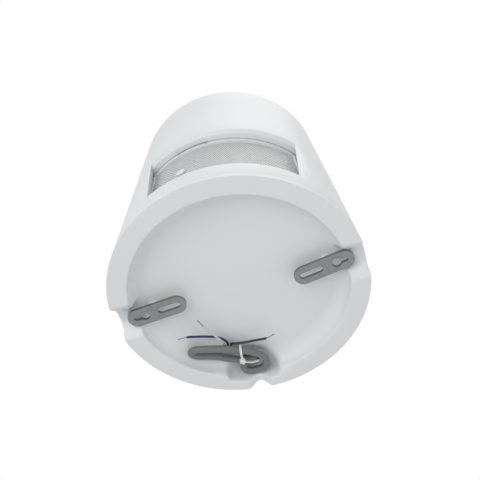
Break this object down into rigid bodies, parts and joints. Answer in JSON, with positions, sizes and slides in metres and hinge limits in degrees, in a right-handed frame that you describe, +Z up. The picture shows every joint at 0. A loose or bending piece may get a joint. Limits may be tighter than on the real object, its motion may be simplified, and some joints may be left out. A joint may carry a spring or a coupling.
{
  "type": "garden speaker",
  "caption": "Tapered round garden speaker with a grilled side window, a dished base with two keyhole hanging straps, and a short wired lead folded under the base.",
  "frame": {"origin": "centre of the ring that the speaker stands on, in the plane of its rim", "axes": "+Z up through the closed top, the grilled window faces -Y, the cable leaves through the groove at +Y"},
  "size_m": [0.22, 0.2199, 0.222],
  "materials": {
    "housing_plastic": "white moulded ABS, fine satin texture",
    "base_plastic": "white moulded ABS, satin",
    "seal_rubber": "black rubber",
    "grille_paint": "white powder-coated perforated steel",
    "frame_plastic": "white moulded ABS",
    "badge_plastic": "white plastic",
    "baffle_board": "black-painted board",
    "gasket_foam": "closed-cell foam",
    "basket_steel": "black-painted pressed steel",
    "surround_rubber": "rubber roll surround",
    "cone_paper": "treated paper",
    "dust_cap_fabric": "doped cloth",
    "spider_fabric": "resin-dipped cloth",
    "coil_copper": "enamelled winding on a former",
    "zinc_steel": "zinc-plated steel",
    "ferrite": "sintered ferrite",
    "screw_steel": "blackened steel",
    "core_steel": "varnished laminations",
    "coil_wrap": "polyester tape over the winding",
    "strap_steel": "dull grey plated steel",
    "cable_jacket": "grey flexible PVC",
    "tie_nylon": "natural nylon",
    "wire_blue_pvc": "dark blue PVC",
    "wire_white_pvc": "white PVC",
    "wire_black_pvc": "black PVC"
  },
  "bodies": {
    "root": {"housing": "housing_plastic", "base": "base_plastic", "base_seal": "seal_rubber", "grille": "grille_paint", "grille_frame": "frame_plastic", "badge_blank": "badge_plastic", "baffle": "baffle_board", "driver_gasket": "gasket_foam", "driver_basket": "basket_steel", "driver_surround": "surround_rubber", "driver_cone": "cone_paper", "dust_cap": "dust_cap_fabric", "spider": "spider_fabric", "voice_coil": "coil_copper", "top_plate": "zinc_steel", "magnet": "ferrite", "back_plate": "zinc_steel", "driver_screws": "screw_steel", "transformer_core": "core_steel", "transformer_coil": "coil_wrap", "transformer_bracket": "zinc_steel", "transformer_screws": "screw_steel", "strap_left": "strap_steel", "strap_right": "strap_steel", "strap_washers": "zinc_steel", "strap_nuts": "zinc_steel", "cable_grommet": "seal_rubber", "inner_cable": "cable_jacket", "cable": "cable_jacket", "cable_tie": "tie_nylon", "wire_blue": "wire_blue_pvc", "wire_white": "wire_white_pvc", "wire_black": "wire_black_pvc"}
  },
  "joints": []
}
